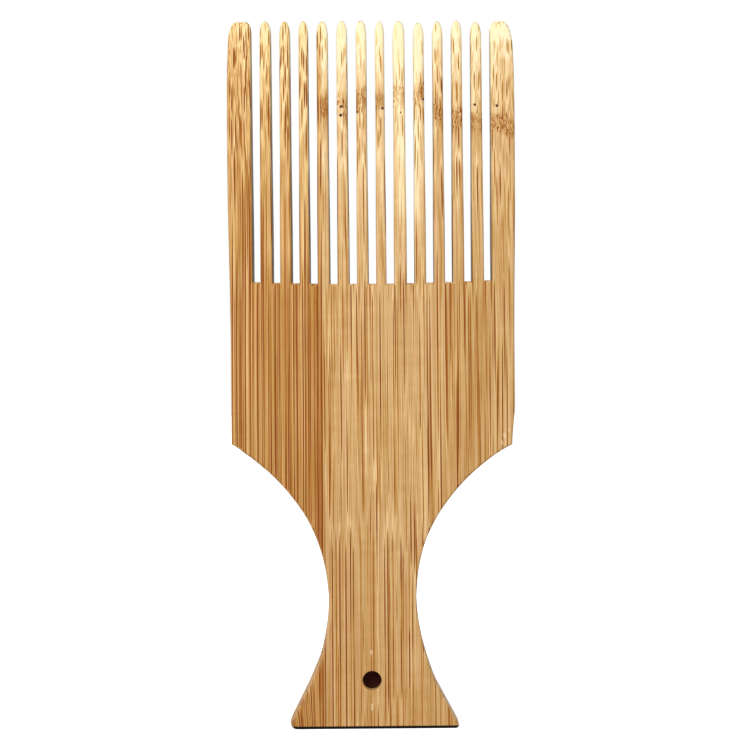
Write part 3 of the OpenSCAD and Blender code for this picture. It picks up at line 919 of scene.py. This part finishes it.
def floor_material():
    """Pale paper that reads white to the camera and keeps the comb's shadow."""
    sh = Shader("studio_floor")
    camera = sh.node("ShaderNodeLightPath", out="Is Camera Ray")
    glossy = sh.node("ShaderNodeLightPath", out="Is Glossy Ray")
    through = sh.node("ShaderNodeLightPath", out="Is Transmission Ray")
    seen = camera.larger(glossy).larger(through)
    place = sh.node("ShaderNodeTexCoord", out="Object")
    away = sh.distance(place, (0, 0, 0)).between(*FLOOR_FADE)
    matt = sh.node("ShaderNodeBsdfDiffuse", None, Color=PAPER, out="BSDF")
    glow = sh.node("ShaderNodeEmission", None, Color=sh.mix(away, GLOW_NEAR, GLOW_FAR), Strength=GLOW)
    both = sh.node("ShaderNodeAddShader", None, matt, glow)
    return sh.finish(sh.node("ShaderNodeMixShader", None, seen, matt, both))


def shade_material():
    """Painted shade: a dark disc that stands in for the shadow inside the hanging hole."""
    sh = Shader("hole_shade")
    return sh.finish(sh.node("ShaderNodeBsdfDiffuse", None, Color=SHADE, out="BSDF"))


def stage_object(name, bm, material):
    """An object of the stage, from a mesh in the making."""
    mesh = bpy.data.meshes.new(name)
    bm.to_mesh(mesh)
    bm.free()
    mesh.materials.append(material)
    placed = bpy.data.objects.new(name, mesh)
    bpy.context.scene.collection.objects.link(placed)
    return placed


def studio_world(strength):
    """Even room light, and a white background for the camera and for reflections."""
    world = bpy.data.worlds.new("studio")
    bpy.context.scene.world = world
    world.use_nodes = True
    nodes, links = world.node_tree.nodes, world.node_tree.links
    nodes.clear()
    path = nodes.new("ShaderNodeLightPath")
    room = nodes.new("ShaderNodeBackground")
    room.inputs["Strength"].default_value = strength
    white = nodes.new("ShaderNodeBackground")
    white.inputs["Strength"].default_value = 1
    for background in (room, white):
        background.inputs["Color"].default_value = (1, 1, 1, 1)
    seen = path.outputs["Is Camera Ray"]
    for ray in ("Is Glossy Ray", "Is Transmission Ray"):
        larger = nodes.new("ShaderNodeMath")
        larger.operation = "MAXIMUM"
        links.new(seen, larger.inputs[0])
        links.new(path.outputs[ray], larger.inputs[1])
        seen = larger.outputs[0]
    choose = nodes.new("ShaderNodeMixShader")
    out = nodes.new("ShaderNodeOutputWorld")
    links.new(seen, choose.inputs[0])
    links.new(room.outputs[0], choose.inputs[1])
    links.new(white.outputs[0], choose.inputs[2])
    links.new(choose.outputs[0], out.inputs["Surface"])


def soft_lamp(name, place, aim, size, power):
    lamp = bpy.data.lights.new(name, "AREA")
    lamp.shape = "DISK"
    lamp.size = size
    lamp.energy = power
    holder = bpy.data.objects.new(name, lamp)
    bpy.context.scene.collection.objects.link(holder)
    holder.location = place
    holder.rotation_mode = "QUATERNION"
    holder.rotation_quaternion = (Vector(aim) - Vector(place)).to_track_quat("-Z", "Y")


def studio_camera(s, setup):
    """A camera that looks straight at the front face, a little rolled."""
    camera = bpy.data.cameras.new("camera")
    camera.sensor_width = SENSOR
    camera.lens = SENSOR / (PICTURE * PIXEL / setup.distance)
    camera.clip_start, camera.clip_end = CAMERA_SEES
    camera.shift_x = (PICTURE / 2 - AHEAD[0]) / PICTURE
    camera.shift_y = (AHEAD[1] - PICTURE / 2) / PICTURE
    holder = bpy.data.objects.new("camera", camera)
    bpy.context.scene.collection.objects.link(holder)
    holder.location = (CAMERA_PLACE[0], -s.layer - setup.distance, CAMERA_PLACE[1])
    upright = Matrix.Rotation(math.pi / 2, 3, "X")
    holder.rotation_euler = (upright @ Matrix.Rotation(-CAMERA_ROLL, 3, "Z")).to_euler()
    return holder


class HAIRPICK_OT_studio(bpy.types.Operator):
    """Sets the floor, the lamps, the room light and the camera"""
    bl_idname = "hairpick.studio"
    bl_label = "Studio"

    def execute(self, context):
        scene, setup, s = context.scene, context.scene.studio_setup, context.scene.comb_sizes
        scene.view_settings.view_transform = "Standard"
        bm = bmesh.new()
        bmesh.ops.create_grid(bm, x_segments=1, y_segments=1, size=FLOOR_HALF)
        floor = stage_object("studio_floor", bm, floor_material())
        # A dark disc inside the hanging hole, painted shade for the shadow there
        bm = bmesh.new()
        bmesh.ops.create_circle(
            bm, cap_ends=True, radius=s.hole_diameter / 2 + SHADE_MARGIN, segments=SHADE_SIDES)
        bmesh.ops.rotate(bm, verts=bm.verts[:], matrix=Matrix.Rotation(math.pi / 2, 3, "X"))
        bmesh.ops.translate(bm, verts=bm.verts[:], vec=(-s.hole_shift, -SHADE_DEPTH, s.hole_height))
        shade = stage_object("hole_shade", bm, shade_material())
        studio_world(setup.room)
        soft_lamp("key_lamp", KEY_PLACE, LAMP_AIM, KEY_SIZE, setup.key_power)
        soft_lamp("fill_lamp", FILL_PLACE, LAMP_AIM, FILL_SIZE, setup.fill_power)
        scene.camera = studio_camera(s, setup)
        return {"FINISHED"}


class HAIRPICK_PT_panel(bpy.types.Panel):
    """Lists the sizes, the colours and the builders"""
    bl_idname = "HAIRPICK_PT_panel"
    bl_label = "Hair Pick"
    bl_space_type = "VIEW_3D"
    bl_region_type = "UI"
    bl_category = "Hair Pick"

    def draw(self, context):
        layout = self.layout
        for group in (context.scene.comb_sizes, context.scene.bamboo_look, context.scene.studio_setup):
            box = layout.box()
            for key in group.bl_rna.properties.keys():
                if key not in ("rna_type", "name"):
                    box.prop(group, key)
        for operator in OPERATORS:
            layout.operator(operator.bl_idname)


GROUPS = (("comb_sizes", CombSizes), ("bamboo_look", BambooLook), ("studio_setup", StudioSetup))
OPERATORS = (HAIRPICK_OT_front_strips, HAIRPICK_OT_back_strips, HAIRPICK_OT_studio)


def register():
    for name, group in GROUPS:
        bpy.utils.register_class(group)
        setattr(bpy.types.Scene, name, PointerProperty(type=group))
    for item in OPERATORS + (HAIRPICK_PT_panel,):
        bpy.utils.register_class(item)


def unregister():
    for item in (HAIRPICK_PT_panel,) + OPERATORS:
        bpy.utils.unregister_class(item)
    for name, group in GROUPS:
        delattr(bpy.types.Scene, name)
        bpy.utils.unregister_class(group)


def main():
    register()
    bpy.ops.hairpick.front_strips()
    bpy.ops.hairpick.back_strips()
    bpy.ops.hairpick.studio()
    bpy.data.meshes.remove(bpy.data.meshes["whole_comb"])


if __name__ == "__main__":
    main()
